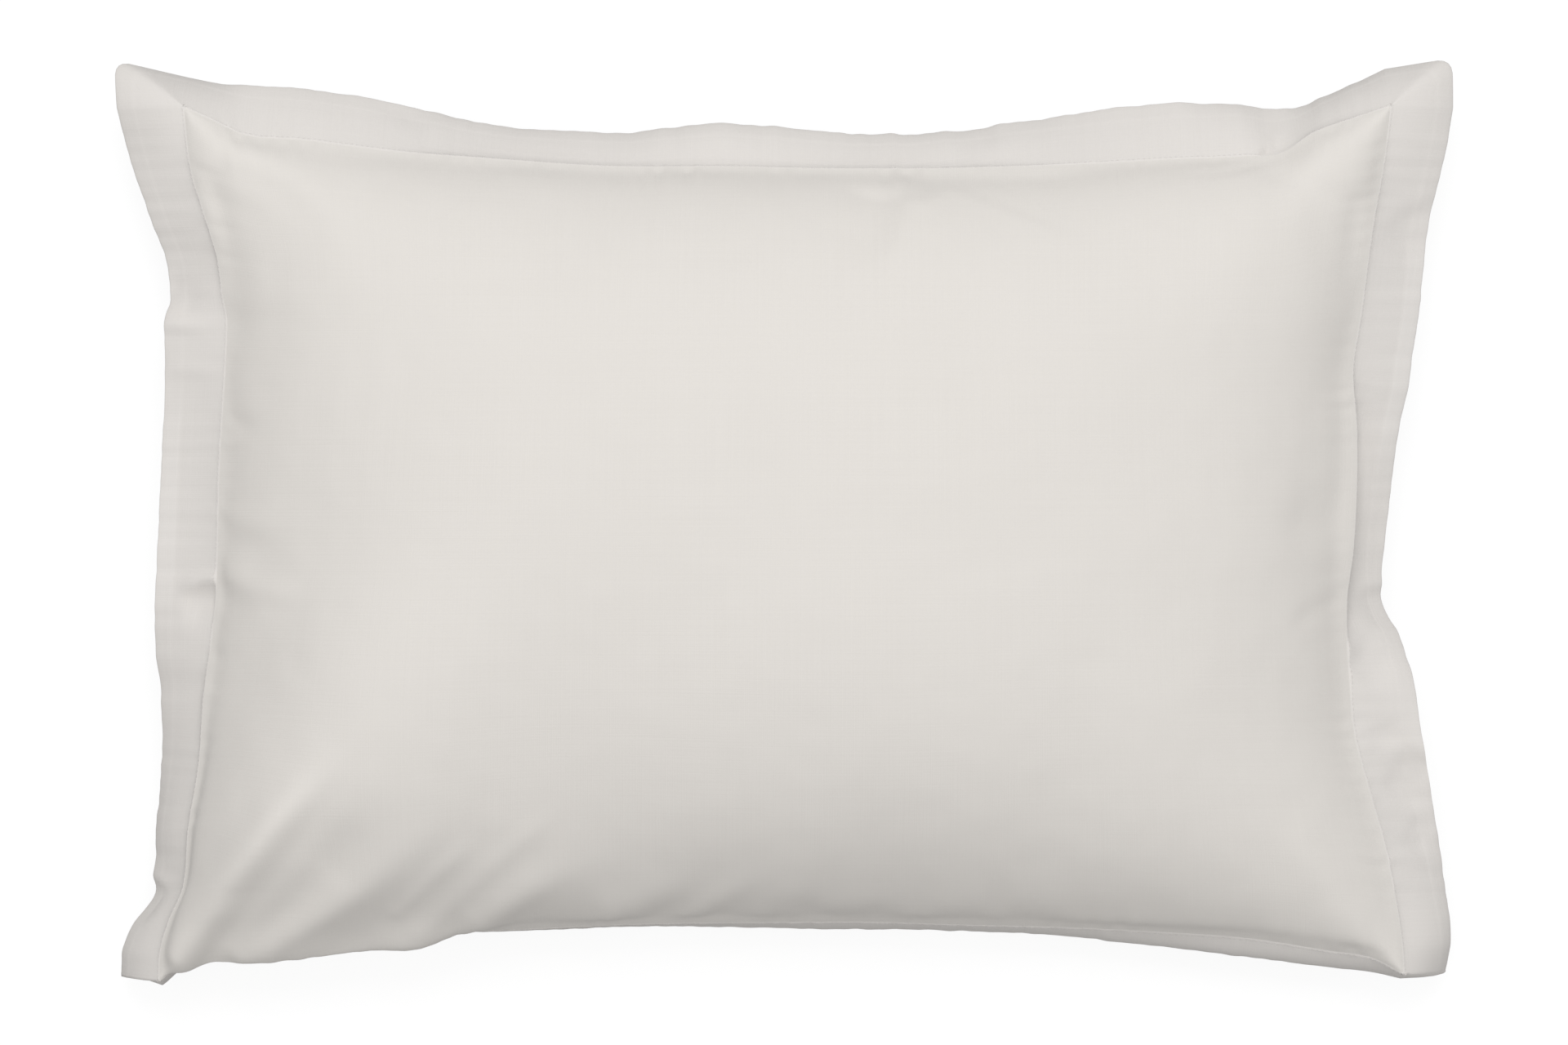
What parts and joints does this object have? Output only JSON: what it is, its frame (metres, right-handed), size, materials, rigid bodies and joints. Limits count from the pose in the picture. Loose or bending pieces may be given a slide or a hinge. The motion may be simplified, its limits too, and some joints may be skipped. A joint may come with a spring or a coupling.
{
  "type": "filled pillowcase",
  "caption": "Plain cotton pillowcase with a flat sewn border, filled with its pillow and lying on its back.",
  "frame": {"origin": "under the middle of the case's outline, on the surface that it lies on", "axes": "+X along the long side, +Y towards the top edge, +Z out of the front face"},
  "size_m": [0.7525, 0.5212, 0.1539],
  "materials": {
    "percale": "matt off-white plain-weave cotton"
  },
  "bodies": {
    "root": {"case_body": "percale", "case_border": "percale"}
  },
  "joints": []
}
